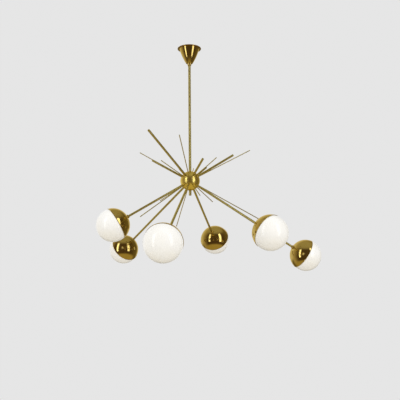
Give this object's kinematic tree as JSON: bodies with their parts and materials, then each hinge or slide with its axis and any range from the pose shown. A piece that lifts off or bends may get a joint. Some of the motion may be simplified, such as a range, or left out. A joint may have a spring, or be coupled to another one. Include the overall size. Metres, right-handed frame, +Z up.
{
  "type": "sputnik chandelier",
  "caption": "Brass ceiling light with a ball hub on a stem, drooping arms that end in cups with opal glass globes, and bare spikes between them.",
  "frame": {"origin": "on the stem's axis in the ceiling plane, at the centre of the bracket's two slots", "axes": "+Z up, +X to the viewer's right, +Y away from the viewer"},
  "size_m": [1.048, 1.0653, 1.0559],
  "materials": {
    "spun_brass": "polished",
    "turned_brass": "polished",
    "hub_brass": "polished",
    "tube_brass": "polished",
    "rod_brass": "polished",
    "opal_glass": "gloss opal",
    "bulb_glass": "frosted",
    "white_insulator": "satin",
    "bracket_steel": "zinc plated",
    "screw_steel": "zinc plated",
    "spring_steel": "bright"
  },
  "bodies": {
    "lamp": {"arm_1": "tube_brass", "arm_2": "tube_brass", "arm_3": "tube_brass", "arm_4": "tube_brass", "arm_5": "tube_brass", "arm_6": "tube_brass", "arm_nuts": "screw_steel", "block_screw": "screw_steel", "ceiling_bracket": "bracket_steel", "clip_nuts": "white_insulator", "cup_1": "spun_brass", "cup_2": "spun_brass", "cup_3": "spun_brass", "cup_4": "spun_brass", "cup_5": "spun_brass", "cup_6": "spun_brass", "cup_ring_nuts": "turned_brass", "earth_screw": "screw_steel", "globe_clips": "spring_steel", "hanger_nipple": "screw_steel", "hanger_nuts": "screw_steel", "hub_finial": "turned_brass", "hub_lower": "hub_brass", "hub_nipple": "screw_steel", "hub_upper": "hub_brass", "lampholder_1": "white_insulator", "lampholder_2": "white_insulator", "lampholder_3": "white_insulator", "lampholder_4": "white_insulator", "lampholder_5": "white_insulator", "lampholder_6": "white_insulator", "lower_thin_spikes": "rod_brass", "spike_nuts": "screw_steel", "stem": "tube_brass", "terminal_block": "white_insulator", "terminal_screws": "screw_steel", "thick_spike_1": "tube_brass", "thick_spike_2": "tube_brass", "thick_spike_3": "tube_brass", "thick_spike_4": "tube_brass", "thick_spike_5": "tube_brass", "thick_spike_6": "tube_brass", "upper_thin_spikes": "rod_brass"},
    "canopy_set": {"canopy": "spun_brass", "canopy_collar": "turned_brass", "canopy_grub_screw": "screw_steel"},
    "globe_1": {"globe_1": "opal_glass"},
    "bulb_1": {"bulb_1": "bulb_glass"},
    "globe_2": {"globe_2": "opal_glass"},
    "bulb_2": {"bulb_2": "bulb_glass"},
    "globe_3": {"globe_3": "opal_glass"},
    "bulb_3": {"bulb_3": "bulb_glass"},
    "globe_4": {"globe_4": "opal_glass"},
    "bulb_4": {"bulb_4": "bulb_glass"},
    "globe_5": {"globe_5": "opal_glass"},
    "bulb_5": {"bulb_5": "bulb_glass"},
    "globe_6": {"globe_6": "opal_glass"},
    "bulb_6": {"bulb_6": "bulb_glass"}
  },
  "joints": [
    {"name": "canopy_slide", "type": "slide", "parent": "lamp", "child": "canopy_set", "axis": [0, 0, -1], "range_m": [0, 0.505]},
    {"name": "globe_1_pull", "type": "slide", "parent": "lamp", "child": "globe_1", "axis": [-0.8278, -0.2327, -0.5105], "range_m": [0, 0.1]},
    {"name": "bulb_1_unscrew", "type": "hinge", "parent": "lamp", "child": "bulb_1", "pos_m": [-0.34104, -0.09586, -0.84784], "axis": [-0.8278, -0.2327, -0.5105], "range_deg": [0, 1260]},
    {"name": "globe_2_pull", "type": "slide", "parent": "lamp", "child": "globe_2", "axis": [-0.5823, 0.6422, -0.4985], "range_m": [0, 0.1]},
    {"name": "bulb_2_unscrew", "type": "hinge", "parent": "lamp", "child": "bulb_2", "pos_m": [-0.34939, 0.38532, -0.93659], "axis": [-0.5823, 0.6422, -0.4985], "range_deg": [0, 1260]},
    {"name": "globe_3_pull", "type": "slide", "parent": "lamp", "child": "globe_3", "axis": [-0.1631, -0.847, -0.506], "range_m": [0, 0.1]},
    {"name": "bulb_3_unscrew", "type": "hinge", "parent": "lamp", "child": "bulb_3", "pos_m": [-0.09982, -0.51833, -0.94719], "axis": [-0.1631, -0.847, -0.506], "range_deg": [0, 1260]},
    {"name": "globe_4_pull", "type": "slide", "parent": "lamp", "child": "globe_4", "axis": [0.2646, 0.8144, -0.5165], "range_m": [0, 0.1]},
    {"name": "bulb_4_unscrew", "type": "hinge", "parent": "lamp", "child": "bulb_4", "pos_m": [0.12965, 0.39904, -0.8906], "axis": [0.2646, 0.8144, -0.5165], "range_deg": [0, 1260]},
    {"name": "globe_5_pull", "type": "slide", "parent": "lamp", "child": "globe_5", "axis": [0.6397, -0.5719, -0.5135], "range_m": [0, 0.1]},
    {"name": "bulb_5_unscrew", "type": "hinge", "parent": "lamp", "child": "bulb_5", "pos_m": [0.32495, -0.29054, -0.89838], "axis": [0.6397, -0.5719, -0.5135], "range_deg": [0, 1260]},
    {"name": "globe_6_pull", "type": "slide", "parent": "lamp", "child": "globe_6", "axis": [0.833, 0.1862, -0.521], "range_m": [0, 0.1]},
    {"name": "bulb_6_unscrew", "type": "hinge", "parent": "lamp", "child": "bulb_6", "pos_m": [0.55061, 0.12308, -0.98189], "axis": [0.833, 0.1862, -0.521], "range_deg": [0, 1260]}
  ]
}
